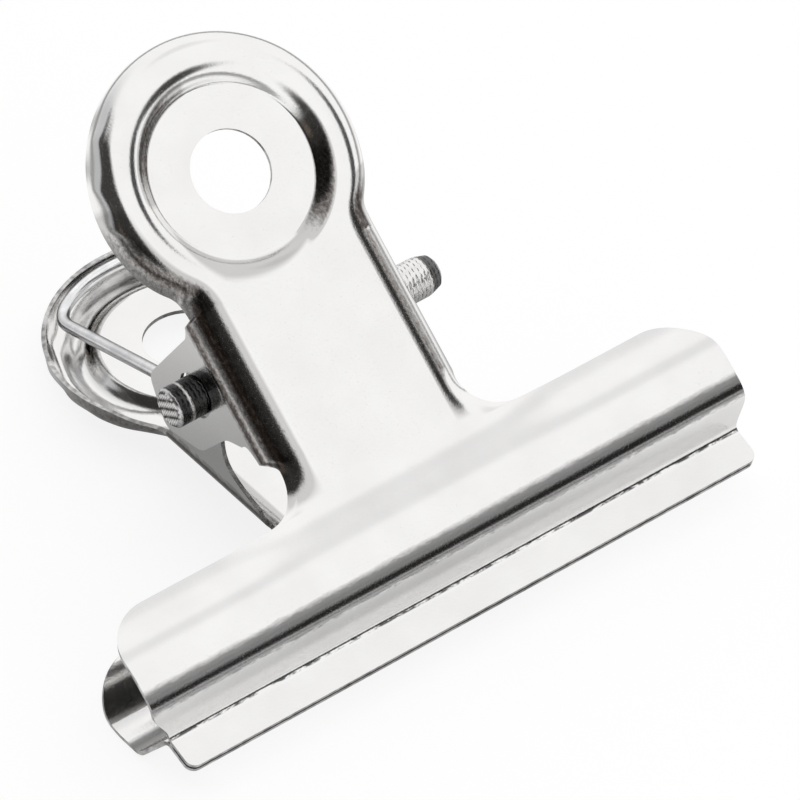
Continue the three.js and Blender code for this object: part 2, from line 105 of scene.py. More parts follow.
# Ears and pin
front_half_width = 12.6
front_turn = math.radians(83.5)
rear_turn = math.pi / 2
ear_clearance = 0.6
ear_bend = 3.9
ear_outline_easing = 0.3
tab_wall = 1
pin_height = 36
pin_offset = 4.3
pin_slip = 1
pin_radius = 2.35
pin_protrusion = 5.2
pin_hole_clearance = 0.35
pin_hole_tear = 0.05
pin_chamfer = 0.35
pin_peening = 0.55
peening_reach = 2.2
peening_span = 2.6
pin_ring_pitch = 0.54
pin_dashes = 17
pin_relief_depth = 0.07
face_row_pitch = 1.0
face_dash_pitch = 0.42
face_relief_depth = 0.12
face_row_direction = (0.78, 0.62)

# Heights above the lips in millimetres with the brightness of the painted reflection and shade there.
relief_height = 20
bend_painted_reflection = [(5.75, 1), (5.95, 0.4), (7.2, 0.22), (7.7, 0.3), (8.3, 1)]
bend_fray = 0.14
crease_painted_shade = [(3.75, 1), (3.9, 0.12), (4.05, 0.12), (4.2, 1)]

# Level of the painted reflection at which the faint crescent's grey is full, and how much the noise
# adds to the painted dark or takes from it where it is hatched.
faint_reflection_level = 0.12
hatch_depth = 0.3

# Places along the pin in millimetres from the clip's middle, with the brightness of painted shade
# there.
pin_painted_shade = [
    (-16.5, 1), (-16.3, 0.05), (-15.2, 0.07), (-15.05, 0.8), (-14.9, 0.75), (-14.75, 0.05),
    (-12.2, 0.06), (-11.8, 1), (17.1, 1), (17.3, 0.12), (18.5, 0.2), (18.65, 1),
]
pin_ramp_reach = 20

# Spring wire
wire_radius = 0.75
coil_turns = 3
coil_gap = 0.5
wire_clearance = 0.3
coil_clearance = 0.3
bail_inset = 2.6
bail_corner = 2.4
leg_half_width = 9.6
tail_rise = 7.5
wire_end_share = 0.75

rear_half_width = front_half_width - sheet_thickness - ear_clearance
pin_hole = pin_radius + pin_hole_clearance
lip_face = lip_gap / 2 + sheet_thickness
web_slope = math.tan(web_lean)
disc_depth = waist_depth + (disc_height - waist_height) * web_slope
profile_top = disc_height + rim_radius

# Where the clip lies: its tilt, and the pin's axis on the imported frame.
pin_low, pin_high = (np.array(corner) * 1000 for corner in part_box("pivot_pin"))
pin_axis = (pin_low + pin_high) / 2
rest_lean = math.atan2(
    disc_depth + rim_radius * math.sin(web_lean) - bulge_depth,
    disc_height + rim_radius * math.cos(web_lean) - bulge_height,
) - math.pi / 2


def place(points):
    """Clip millimetres to frame metres: a turn about X by the lean, then the pin on its axis."""
    turned = np.array([
        [1, 0, 0],
        [0, math.cos(rest_lean), -math.sin(rest_lean)],
        [0, math.sin(rest_lean), math.cos(rest_lean)],
    ])
    from_pin = points - np.array([pin_slip, -pin_offset, pin_height])
    return (from_pin @ turned.T + pin_axis) / 1000


def smooth(x):
    """Cubic ease from 0 to 1, three x squared less two x cubed."""
    c = np.clip(x, 0, 1)
    return c * c * (3 - 2 * c)


def mix(a, b, share):
    """Straight blend of two values."""
    return a + (b - a) * share


def lengths_along(points):
    """Distance along a path from its start to each of its points."""
    return np.concatenate([[0], np.cumsum(np.linalg.norm(np.diff(points, axis=0), axis=1))])


def path_at(places, length, points):
    """Points of a path at the given distances along it, in straight steps between its own."""
    return np.stack([np.interp(places, length, column) for column in points.T], 1)


def shares(count):
    """Even steps from the first one above 0 up to 1."""
    return np.arange(1, count + 1) / count


def rounded_path(corners, step=0.02):
    """Evenly spaced points of a path through corners (x, y, radius), each cut off by a true arc."""
    pieces = [np.array([corners[0][:2]], float)]
    for before, here, after in zip(corners, corners[1:], corners[2:]):
        corner = np.array(here[:2], float)
        back = np.array(before[:2], float) - corner
        onward = np.array(after[:2], float) - corner
        back /= np.linalg.norm(back)
        onward /= np.linalg.norm(onward)
        half = math.acos(np.clip(back @ onward, -1, 1)) / 2
        radius = here[2]
        start = corner + back * radius / math.tan(half)
        middle = (back + onward) / np.linalg.norm(back + onward)
        centre = corner + middle * radius / math.sin(half)
        spoke = start - centre
        sweep = (math.pi - 2 * half) * -np.sign(back[0] * onward[1] - back[1] * onward[0])
        angle = np.linspace(0, sweep, max(3, int(abs(sweep) * radius / step)))
        turn_x = spoke[0] * np.cos(angle) - spoke[1] * np.sin(angle)
        turn_y = spoke[0] * np.sin(angle) + spoke[1] * np.cos(angle)
        pieces.append(centre + np.stack([turn_x, turn_y], 1))
    pieces.append(np.array([corners[-1][:2]], float))
    points = np.concatenate(pieces)
    length = lengths_along(points)
    even = np.linspace(0, length[-1], max(8, int(length[-1] / step)))
    return even, path_at(even, length, points)


def softened(length, points, width):
    """The path with its bends eased by a moving average of the given width, ends kept."""
    count = max(1, int(width / (length[1] - length[0]))) | 1
    pad = count // 2
    out = np.empty_like(points)
    for k in range(2):
        column = points[:, k]
        before = 2 * column[0] - column[pad:0:-1]
        after = 2 * column[-1] - column[-2:-pad - 2:-1]
        full = np.concatenate([before, column, after])
        out[:, k] = np.convolve(full, np.ones(count) / count, "valid")
    return out


# Side profile of the outer face: lip, shelf, bulge, waist and the straight leaning web.
profile_length, profile_points = rounded_path([
    (lip_face, 0),
    (lip_face, lip_height, crease_radius),
    (lip_face + shelf_depth, lip_height + shelf_rise, shelf_radius),
    (bulge_depth, bulge_height, bulge_radius),
    (waist_depth, waist_height, waist_radius),
    (waist_depth + (profile_top - waist_height) * web_slope, profile_top),
])
profile_points = softened(profile_length, profile_points, profile_easing)
profile_tangent = np.gradient(profile_points, profile_length, axis=0)
profile_tangent /= np.linalg.norm(profile_tangent, axis=1)[:, None]


def along_profile(t, values):
    """A value of the profile at a distance along it."""
    return np.interp(t, profile_length, values)


def length_at_height(height):
    """Distance along the profile at which it reaches a height."""
    return float(np.interp(height, profile_points[:, 1], profile_length))


wing_length = length_at_height(wing_top)
bulge_length = length_at_height(bulge_height)
disc_length = length_at_height(disc_height)


def sheet_point(s, t, inward):
    """Point of the pressed sheet, drawn as the rear one: s across, t along the profile, and inward
    below its outer face. The wings curl in by the square of their height over the bulge."""
    wing = smooth((np.abs(s) - wing_curl_start) / wing_curl_span)
    rise = np.clip((t - bulge_length) / (wing_length - bulge_length), 0, 1)
    depth = inward + wing_curl * wing * rise * rise
    out_y = along_profile(t, profile_tangent[:, 1])
    out_z = -along_profile(t, profile_tangent[:, 0])
    y = along_profile(t, profile_points[:, 0]) - depth * out_y
    z = along_profile(t, profile_points[:, 1]) - depth * out_z
    return np.stack(np.broadcast_arrays(s, y, z), -1)


def jaw_half_width(t):
    """Half width of the jaw at a distance up its profile: lip corner, barrel end, top corner."""
    barrel = bulge_overhang * smooth((t - lip_height) / overhang_rise)
    rest = np.clip(lip_corner_radius - t, 0, None)
    cut = lip_corner_radius - np.sqrt(lip_corner_radius ** 2 - rest ** 2)
    rest = np.clip(wing_corner_radius - (wing_length - t), 0, wing_corner_radius)
    cut = cut + wing_corner_radius - np.sqrt(wing_corner_radius ** 2 - rest ** 2)
    return lip_width / 2 + barrel - cut


# How finely the surfaces are drawn: steps across and along each patch of the sheet, row heights of
# the jaw, rings of ear and disc, steps along the wire, and rings of the pin.
web_columns = 16
bend_columns = 12
wing_columns = 44
lip_corner_rows = 7
wing_corner_rows = 16
lip_row = 0.5
crease_row = 0.12
bulge_row = 0.42
shoulder_steps = 14
flank_steps = 10
ear_steps = 26
root_steps = 14
ear_edge_steps = 72
ear_rings = 12
neck_top_steps = 6
rim_steps = 168
floor_rings = 12
recess_rings = 24
outer_rings = 8
coil_steps = 40
tail_steps = 14
leg_steps = 40
corner_steps = 16
bail_steps = 40
wire_step = 0.3
wire_sides = 24
pin_sides = 144
pin_end_rings = 70
pin_middle_rings = 30
pin_face_rings = 34


def fold_arc(width, edge_depth, share):
    """Arc from the web, tangent to it, to a point the given width away and depth below: sideways it
    goes as the sine of its turn, and down as one less the cosine."""
    turn = 2 * np.arctan2(edge_depth, width)
    angle = turn * share
    nearly_flat = turn < 1e-4
    safe = np.where(nearly_flat, 1.0, turn)
    sunk = edge_depth * (1 - np.cos(angle)) / (1 - np.cos(safe))
    across = np.where(nearly_flat, width * share, width * np.sin(angle) / np.sin(safe))
    down = np.where(nearly_flat, edge_depth * share ** 2, sunk)
    return across, down


def bend_width(edge_depth):
    """How far out the neck's fold reaches when its edge lies at a depth below the web."""
    return np.sqrt(np.clip(edge_depth * (2 * ear_bend - edge_depth), 0, None))


lean_out = np.array([math.cos(web_lean), -math.sin(web_lean)])
lean_up = np.array([math.sin(web_lean), math.cos(web_lean)])


def on_web(depth, height):
    """Depth below a web and distance up it from the disc's centre, of a point in the side view."""
    away = np.array([depth - disc_depth, height - disc_height])
    return -away @ lean_out, away @ lean_up


tab_radius = pin_hole + tab_wall
tab_round = tab_radius - 0.05

# The jaws' own sizes. An ear leaves its fold between ear_foot and ear_top and narrows to neck_low
# and neck_high at root_depth. From there its outline runs round the pin hole, as corners (inward,
# along, radius). All of the ear's places are counted from the pin.
jaws = {
    "front": {
        "half_width": front_half_width,
        "turn": front_turn,
        "pin": on_web(pin_offset, pin_height),
        "ear_foot": -10,
        "ear_top": 6.8,
        "root_depth": -3.4,
        "neck_low": -7.4,
        "neck_high": 5.7,
        "ear_corners": [
            (-1.2, -5.8, 2.4),
            (4.6, -5.6, 2.2),
            (8.9, -1.3, 1.8),
            (6.6, 4.6, 1.8),
        ],
    },
    "rear": {
        "half_width": rear_half_width,
        "turn": rear_turn,
        "pin": on_web(-pin_offset, pin_height),
        "ear_foot": -8,
        "ear_top": 9.2,
        "root_depth": -6,
        "neck_low": -1.6,
        "neck_high": 4.8,
        "ear_corners": [
            (-tab_radius, -1.9, 0.8),
            (-1.9, -tab_radius, 1.2),
            (tab_radius, -tab_radius, tab_round),
            (tab_radius, tab_radius, tab_round),
        ],
    },
}
for side in jaws.values():
    side["fold_depth"] = ear_bend * (1 - math.cos(side["turn"]))
    side["fold_s"] = side["half_width"] - ear_bend * math.sin(side["turn"])
    side["shoulder_s"] = side["fold_s"] + bend_width(shoulder_edge_depth) + shoulder_radius
    side["foot_radius"] = math.hypot(side["fold_s"], notch_below)
    pin_depth, pin_along = side["pin"]
    side["root_depth"] += pin_depth
    for height in ("ear_foot", "ear_top", "neck_low", "neck_high"):
        side[height] += pin_along
    corners = side["ear_corners"]
    side["ear_corners"] = [(pin_depth + x, pin_along + y, radius) for x, y, radius in corners]


def corner_rows(radius, count):
    """Distances from the end of a rounded corner, close together where its outline turns in."""
    return radius * (1 - np.cos(np.linspace(0, math.pi / 2, count)))


def jaw_patch(side):
    """Gripping jaw: rows up the profile, and columns over the web, the fold's foot and the wing,
    which ends at the jaw's own half width."""
    fold_s = side["fold_s"]
    shoulder_s = side["shoulder_s"]
    rows = np.unique(np.concatenate([
        corner_rows(lip_corner_radius, lip_corner_rows),
        np.arange(lip_corner_radius, lip_height - 1, lip_row),
        np.arange(lip_height - 1, lip_height + 1, crease_row),
        np.arange(lip_height + 1, wing_length - wing_corner_radius, bulge_row),
        wing_length - corner_rows(wing_corner_radius, wing_corner_rows),
    ]).round(5))
    rows[-1] = wing_length
    t = rows[:, None]
    end = jaw_half_width(t)
    web = np.linspace(0, fold_s, web_columns + 1)[None]
    foot = mix(fold_s, shoulder_s, shares(bend_columns))[None]
    wing = mix(shoulder_s, end, shares(wing_columns)[None])
    ones = np.ones_like(t)
    s = np.concatenate([web * ones, foot * ones, wing], 1)
    return sheet_point(s, t * np.ones_like(s), 0)


def neck_patch(side):
    """Neck: rows from the top of the wings over the shoulder, the flank, the ear and the notch. Each
    row is the flat web, sagging towards the disc's circle, and then the arc of the fold."""
    fold_s = side["fold_s"]
    ear_foot = disc_length + side["ear_foot"]
    ear_top = disc_length + side["ear_top"]
    neck_top = disc_length - notch_below

    angle = np.linspace(0, math.pi / 2, shoulder_steps + 1)
    shoulder_t = wing_length + shoulder_radius * (1 - np.cos(angle))
    shoulder_width = side["shoulder_s"] - shoulder_radius * np.sin(angle) - fold_s
    shoulder_edge = shoulder_edge_depth * smooth(np.linspace(0, 1, shoulder_steps + 1))
    flank_share = shares(flank_steps)
    flank_t = mix(wing_length + shoulder_radius, ear_foot, flank_share)
    flank_edge = mix(shoulder_edge_depth, side["fold_depth"], flank_share ** 2)
    ear_t = mix(ear_foot, ear_top, shares(ear_steps))
    ear_edge = np.full(ear_steps, side["fold_depth"])
    top_share = shares(neck_top_steps)
    top_t = mix(ear_top, neck_top, top_share)
    top_edge = mix(side["fold_depth"], notch_depth, top_share)
    t = np.concatenate([shoulder_t, flank_t, ear_t, top_t])[:, None]
    edge = np.concatenate([shoulder_edge, flank_edge, ear_edge, top_edge])[:, None]
    width = bend_width(edge)
    width[:shoulder_steps + 1, 0] = shoulder_width

    s = np.linspace(0, fold_s, web_columns + 1)[None]
    sag_share = np.clip((t - ear_foot) / (neck_top - ear_foot), 0, 1)
    sag = sag_share * (np.sqrt(side["foot_radius"] ** 2 - s ** 2) - notch_below)
    web = sheet_point(s * np.ones_like(t), t - sag, 0)
    across, down = fold_arc(width, edge, shares(bend_columns)[None])
    fold = sheet_point(fold_s + across, t * np.ones_like(across), down)
    return np.concatenate([web, fold], 1)


def pierced_hole(angle):
    """Radius of the pin hole round its edge: a circle torn a little by the punch, as three sines."""
    tears = np.sin(5 * angle + 0.7) + 0.7 * np.sin(9 * angle + 2.1) + 0.5 * np.sin(14 * angle)
    return pin_hole + pin_hole_tear * tears


def ear_plane(side, flat):
    """Points (inward, along) of the flat ear, which stands off its fold at the fold's full turn."""
    s = side["half_width"] + (flat[..., 0] - side["fold_depth"]) / math.tan(side["turn"])
    return sheet_point(s, disc_length + flat[..., 1], flat[..., 0])


def root_grid(side):
    """Root of the ear in its own plane: between the bend line and root_depth its lower edge falls
    away as the fourth power of the distance to root_depth, and its upper edge as the square."""
    share = np.linspace(0, 1, root_steps + 1)[None]
    low = side["neck_low"] - (side["neck_low"] - side["ear_foot"]) * (1 - share) ** 4
    high = side["neck_high"] + (side["ear_top"] - side["neck_high"]) * (1 - share) ** 2
    inward = mix(side["fold_depth"], side["root_depth"], share)
    along = mix(low, high, np.linspace(0, 1, ear_steps + 1)[:, None])
    return np.stack(np.broadcast_arrays(inward, along), -1)


def ear_patch(side):
    """Ear: rings from its outline to the pin hole. The outline is the end of the root up and the
    free edge back, and each ring is a straight blend of the outline and the hole's circle."""
    root = root_grid(side)[:, -1]
    length, edge = rounded_path([tuple(root[0]), *side["ear_corners"], tuple(root[-1])])
    edge = softened(length, edge, ear_outline_easing)
    even = np.linspace(length[-1], 0, ear_edge_steps + 1)[1:-1]
    loop = np.concatenate([root, path_at(even, length, edge), root[:1]])
    pin = np.array(side["pin"])
    angle = np.arctan2(loop[:, 1] - pin[1], loop[:, 0] - pin[0])
    ring = pin + pierced_hole(angle)[:, None] * np.stack([np.cos(angle), np.sin(angle)], 1)
    share = np.linspace(0, 1, ear_rings)[None, :, None]
    return ear_plane(side, mix(loop[:, None], ring[:, None], share))


def rim_path(neck_half, radius, hollow):
    """Half outline of the disc on the web: straight up the neck, a hollow corner, and the circle to
    the top. Gives evenly spaced points for the spokes."""
    centre_s = neck_half + hollow
    centre_b = -math.sqrt((radius + hollow) ** 2 - centre_s ** 2)
    meet = math.atan2(centre_b, centre_s)
    straight = np.array([[neck_half, -notch_below], [neck_half, centre_b]])
    turn = np.linspace(math.pi, meet + math.pi, 60)
    corner = np.stack([centre_s + hollow * np.cos(turn), centre_b + hollow * np.sin(turn)], 1)
    turn = np.linspace(meet, math.pi / 2, 400)
    circle = radius * np.stack([np.cos(turn), np.sin(turn)], 1)
    points = np.concatenate([straight, corner[1:], circle[1:]])
    length = lengths_along(points)
    return path_at(np.linspace(0, length[-1], rim_steps + 1), length, points)


def disc_fold(side):
    """The line where the disc's flat part ends and its rim begins to turn."""
    return rim_path(side["fold_s"], rim_radius - rim_bend, fold_hollow)


recess_path = rounded_path([
    (0, recess_depth),
    (recess_floor, recess_depth, recess_floor_round),
    (recess_edge, 0, recess_edge_round),
    (rim_radius, 0),
])[1]


def recess(r):
    """Depth of the disc's dished middle at a distance from its centre, read off its rounded side."""
    return np.interp(r, recess_path[:, 0], recess_path[:, 1])


def disc_spokes(side):
    """Angles of the disc's spokes and the distances of their points from its centre: close together
    over the side of the dished middle, and then evenly on to the fold of the rim."""
    s = np.linspace(0, side["fold_s"], web_columns + 1)
    foot = np.stack([s, -np.sqrt(side["foot_radius"] ** 2 - s ** 2)], 1)
    end = np.concatenate([foot, disc_fold(side)[1:]])
    angle = np.arctan2(end[:, 1], end[:, 0])[:, None]
    recess_end = recess_edge + 0.9
    inner = np.concatenate([
        np.linspace(hanging_hole, recess_floor - 0.3, floor_rings),
        np.linspace(recess_floor - 0.2, recess_end, recess_rings),
    ])[None]
    reach = np.hypot(end[:, 0], end[:, 1])[:, None]
    outer = mix(recess_end, reach, shares(outer_rings)[None])
    return angle, np.concatenate([inner * np.ones_like(reach), outer], 1)


def disc_patch(side):
    """Thumb disc: spokes from the hanging hole over the dished middle to the fold of the rim."""
    angle, r = disc_spokes(side)
    return sheet_point(r * np.cos(angle), disc_length + r * np.sin(angle), recess(r))


def rim_patch(side, left):
    """Turned rim: for each spoke an arc from the fold and then a short straight wall, spaced evenly
    along the two. On the left, where the sheet is gathered, it is drawn in by waves: the size of a
    sine round the disc to the power 1.5, and deepest halfway down the rim by another sine."""
    fold = disc_fold(side)
    wall = rim_path(side["fold_s"] + ear_bend, rim_radius, wall_hollow)
    share = np.linspace(0, 1, rim_steps + 1)[:, None]
    settle = smooth(share * rim_settle_rate)
    bend = mix(ear_bend, rim_bend, settle)
    edge = mix(notch_depth, rim_depth, settle)
    curved = np.minimum(edge, bend)
    turn = np.arccos(1 - curved / bend)
    arc_length = bend * turn
    way = (np.arange(bend_columns + 1) / bend_columns)[None] * (arc_length + edge - curved)
    angle = np.minimum(way / bend, turn)
    extra = np.maximum(way - arc_length, 0)
    across = np.sin(angle)
    down = bend * (1 - np.cos(angle)) + extra
    round_disc = np.arctan2(wall[:, 1], wall[:, 0])[:, None]
    phase = rim_waves / 2 * round_disc + rim_wave_unevenness * np.sin(3 * round_disc)
    crest = np.abs(np.sin(phase)) ** rim_wave_sharpness
    beside_disc = smooth((np.cos(round_disc) - 0.5) * 4)
    past_neck = smooth((share - 0.2) * 6)
    belly = np.sin(math.pi * np.minimum(down / rim_depth, 1))
    if left:
        across = across - rim_wave_depth * beside_disc * past_neck * crest * belly
    p = mix(fold[:, None], wall[:, None], across[..., None])
    return sheet_point(p[..., 0], disc_length + p[..., 1], down)


def neck_painted_reflection(left):
    """How dark the painted reflection on the neck's fold is, from 0 to 1: nearly all of the left bend
    and the inner part of the right one, fading away down the shoulder."""
    if left:
        places = [0, 0.25, 0.5, 0.66, 0.75, 0.84, 0.92, 1]
        levels = [0, 0.5, 1, 1, 0.5, 1, 1, 0.3]
    else:
        places = [0, 0.12, 0.3, 0.42]
        levels = [0, 0.6, 0.9, 0]
    share = np.concatenate([np.zeros(web_columns + 1), shares(bend_columns)])
    row = np.arange(shoulder_steps + flank_steps + ear_steps + neck_top_steps + 1)
    fade = np.interp(row, [shoulder_steps / 3, shoulder_steps + flank_steps / 2], [0, 1])
    return fade[:, None] * np.interp(share, places, levels)


def rim_painted_reflection(left):
    """Painted reflection on the rim's fold: a dark band that carries on from the neck's and fades up
    the disc.
    """
    share = np.linspace(0, 1, rim_steps + 1)[:, None]
    across = np.arange(bend_columns + 1)[None] / bend_columns
    if left:
        band = np.interp(across, [0.05, 0.25, 0.5, 0.6, 1], [0, 0.8, 1, 0.75, 0.65])
        fade = np.interp(share, [0.12, 0.3, 0.42], [1, 0.9, 0])
    else:
        band = np.interp(across, [0.05, 0.25, 0.5, 0.7], [0, 1, 1, 0])
        fade = np.interp(share, [0.1, 0.2], [1, 0])
    return band * fade


def recess_painted_reflection(side, left):
    """Painted reflection on the side of the dished middle: two dark crescents, one high on the left
    and one low on the right, and a faint one below, which is widest at its middle and reaches onto
    the web."""
    angle, r = disc_spokes(side)
    turn = np.degrees(angle)
    if left:
        edges = [recess_floor - 0.3, recess_floor, recess_edge - 0.4, recess_edge]
        crescent = np.interp(turn, [0, 25, 65, 88], [0, 0.9, 0.8, 0])
        below = np.interp(turn, [-90, -55, -12], [0.7, 1, 0])
    else:
        edges = [recess_floor - 0.2, recess_floor, recess_edge + 0.2, recess_edge + 0.6]
        crescent = np.interp(turn, [-72, -50, -15, 10], [0, 0.9, 0.9, 0])
        below = np.interp(turn, [-90, -60, -45], [0.7, 0.35, 0])
    crescent = np.interp(r, edges, [0, 1, 1, 0]) * crescent
    beyond = (r - recess_floor) / (crescent_reach * below + 0.01)
    faint = faint_reflection_level * smooth(beyond * 8) * smooth((1 - beyond) * 3) * smooth(below * 3)
    return np.maximum(crescent, faint)


def grid_quads(grid, offset):
    """Corner indices of the cells of a grid whose points are stored row by row from an offset."""
    rows, columns = grid.shape[:2]
    index = offset + np.arange(rows * columns).reshape(rows, columns)
    corners = [index[:-1, :-1], index[:-1, 1:], index[1:, 1:], index[1:, :-1]]
    return np.stack(corners, -1).reshape(-1, 4)


# Lengths in metres up to which two mesh points become one and an edge counts as none.
weld_distance = 2e-6
sliver_length = 1e-7


def mesh_piece(name, points, faces, attributes):
    """A mesh object from points in metres and faces, with doubles merged and shaded smooth. Each
    attribute is a number per point for the finish to read."""
    mesh = bpy.data.meshes.new(name)
    mesh.from_pydata(points.tolist(), [], faces.tolist())
    for label, values in attributes.items():
        mesh.attributes.new(label, "FLOAT", "POINT").data.foreach_set("value", values)
    work = bmesh.new()
    work.from_mesh(mesh)
    bmesh.ops.remove_doubles(work, verts=work.verts, dist=weld_distance)
    bmesh.ops.dissolve_degenerate(work, edges=work.edges, dist=sliver_length)
    work.to_mesh(mesh)
    work.free()
    mesh.polygons.foreach_set("use_smooth", np.ones(len(mesh.polygons), bool))
    piece = bpy.data.objects.new(name, mesh)
    bpy.context.collection.objects.link(piece)
    return piece


def pressed_jaw(name, side, front):
    """One jaw: its six patches and their mirror images welded into one skin, then given the
    sheet's thickness and softly rounded sheared edges."""
    patches = []
    for across in (1, -1):
        left = across < 0
        patches += [
            (across, jaw_patch(side), 0),
            (across, neck_patch(side), neck_painted_reflection(left)),
            (across, ear_plane(side, root_grid(side)), 0),
            (across, ear_patch(side), 0),
            (across, disc_patch(side), recess_painted_reflection(side, left)),
            (across, rim_patch(side, left), rim_painted_reflection(left)),
        ]
    points = []
    quads = []
    fold_reflection = []
    count = 0
    for across, grid, marks in patches:
        cells = grid_quads(grid, count)
        if (across < 0) == front:
            cells = cells[:, ::-1]
        quads.append(cells)
        points.append(grid.reshape(-1, 3) * [across, -1 if front else 1, 1])
        # Each patch's marks are the painted reflection along its folds, kept per point.
        fold_reflection.append((marks * np.ones(grid.shape[:2])).ravel())
        count += grid.shape[0] * grid.shape[1]
    points = np.concatenate(points)
    attributes = {"relief": points[:, 2] / relief_height, "fold_reflection": np.concatenate(fold_reflection)}
    piece = mesh_piece(name, place(points), np.concatenate(quads), attributes)
    wall = piece.modifiers.new("sheet", "SOLIDIFY")
    wall.thickness = sheet_thickness / 1000
    wall.offset = -1
    wall.material_offset_rim = 1
    edge = piece.modifiers.new("sheared_edges", "BEVEL")
    edge.width = cut_edge_round / 1000
    edge.segments = 2
    edge.limit_method = "ANGLE"
    edge.angle_limit = math.radians(55)
    edge.harden_normals = True
    return piece


def swept_tube(path, radius, sides):
    """Round tube along a path: circles square to it, each frame carried on from the last so that
    the tube doesn't twist. A ring of no size at either end closes it."""
    step = np.gradient(path, axis=0)
    tangent = step / np.linalg.norm(step, axis=1)[:, None]
    normal = np.cross(tangent, [0.31, 0.57, 0.76])
    carried = normal[0]
    for k, along in enumerate(tangent):
        carried = carried - along * (carried @ along)
        carried = carried / np.linalg.norm(carried)
        normal[k] = carried
    side = np.cross(tangent, normal)
    angle = np.linspace(0, 2 * math.pi, sides + 1)[None, :, None]
    ring = normal[:, None] * np.cos(angle) + side[:, None] * np.sin(angle)
    tube = path[:, None] + radius[:, None, None] * ring
    first = np.broadcast_to(path[0], tube[:1].shape)
    last = np.broadcast_to(path[-1], tube[:1].shape)
    return np.concatenate([first, tube, last])


def web_point(inward, along, sign):
    """Side-view point below a web, at a distance up it from the disc's centre."""
    depth = disc_depth + along * lean_up[0] - inward * lean_out[0]
    height = disc_height + along * lean_up[1] - inward * lean_out[1]
    return np.array([sign * depth, height])


def spring_path():
    """Middle line of half of the wire: tail, coil as a helix on the pin, straight leg, rounded
    corner, and the arc of the bail to the middle of the rear disc's rim."""
    radius = pin_radius + coil_clearance + wire_radius
    pitch = 2 * wire_radius + coil_gap
    outer_x = rear_half_width - sheet_thickness - wire_clearance - wire_radius
    pin = np.array([-pin_offset, pin_height])
    seat = sheet_thickness + wire_clearance + wire_radius
    tail_end = web_point(seat, jaws["front"]["pin"][1] + tail_rise, -1)
    to_tail = tail_end - pin
    tail_angle = math.atan2(to_tail[1], to_tail[0]) + math.acos(radius / np.linalg.norm(to_tail))

    bail_radius = rim_radius - sheet_thickness - wire_clearance - wire_radius
    leg_top_b = math.sqrt(bail_radius ** 2 - leg_half_width ** 2)
    leg_top = web_point(bail_inset, leg_top_b, 1)
    to_leg = leg_top - pin
    leg_angle = math.atan2(to_leg[1], to_leg[0]) - math.acos(radius / np.linalg.norm(to_leg))
    span = 2 * math.pi * coil_turns + (leg_angle - tail_angle) % (2 * math.pi)
    inner_x = outer_x - pitch * span / (2 * math.pi)
    share = np.linspace(0, 1, int(span / (2 * math.pi) * coil_steps))
    angle = tail_angle + span * share
    coil = np.stack([
        mix(inner_x, outer_x, share),
        pin[0] + radius * np.cos(angle),
        pin[1] + radius * np.sin(angle),
    ], 1)
    tail = mix(np.array([inner_x, *tail_end]), coil[0], np.linspace(0, 1, tail_steps)[:, None])

    corner = np.array([leg_half_width, *leg_top])
    foot = coil[-1]
    along_leg = (foot - corner) / np.linalg.norm(foot - corner)
    before = corner + along_leg * bail_corner
    after_angle = math.atan2(leg_top_b, leg_half_width) + bail_corner / bail_radius

    turn = np.linspace(after_angle, math.pi / 2, bail_steps)
    depth, height = web_point(bail_inset, bail_radius * np.sin(turn), 1)
    bail = np.stack([bail_radius * np.cos(turn), depth, height], 1)
    leg = mix(foot, before, np.linspace(0, 1, leg_steps)[1:-1, None])
    share = np.linspace(0, 1, corner_steps)[:, None]
    bend = (1 - share) ** 2 * before + 2 * share * (1 - share) * corner + share ** 2 * bail[0]
    return np.concatenate([tail[:-1], coil, leg, bend, bail[1:]])


def bent_wire():
    """The spring: its half path and the mirror image, with points the same distance apart, swept by
    the wire, whose cut ends are a little narrower."""
    half = spring_path()
    whole = np.concatenate([half, half[-2::-1] * [-1, 1, 1]])
    length = lengths_along(whole)
    path = path_at(np.linspace(0, length[-1], int(length[-1] / wire_step)), length, whole)
    radius = np.full(len(path), wire_radius)
    radius[[0, -1]] *= wire_end_share
    tube = swept_tube(path, radius, wire_sides)
    return mesh_piece("spring_wire", place(tube.reshape(-1, 3)), grid_quads(tube, 0), {})


def pin_relief(x, angle):
    """Depth of the pressed texture on the pin's ends: rings 0.54 mm apart, each broken into dashes
    by a sine round the pin whose phase shifts from ring to ring."""
    end = smooth((np.abs(x) - front_half_width - 0.1) / 0.2)
    ring = np.floor(np.abs(x) / pin_ring_pitch)
    groove = np.abs(np.sin(math.pi * x / pin_ring_pitch)) ** 0.6
    phase = pin_dashes * angle + 2.4 * ring + 0.6 * np.sin(3 * angle + ring)
    dash = smooth(0.9 + 1.2 * np.sin(phase))
    return end * pin_relief_depth * (1 - groove) * dash


def face_relief(y, z):
    """Depth of the texture on the pin's end faces: rows a millimetre apart, broken into dashes."""
    along = face_row_direction[0] * y + face_row_direction[1] * z
    across = face_row_direction[0] * z - face_row_direction[1] * y
    row = np.floor(across / face_row_pitch)
    ridge = np.abs(np.sin(math.pi * across / face_row_pitch)) ** 0.7
    dash = np.abs(np.sin(math.pi * along / face_dash_pitch + 1.3 * row)) ** 0.7
    return face_relief_depth * (1 - ridge * dash)


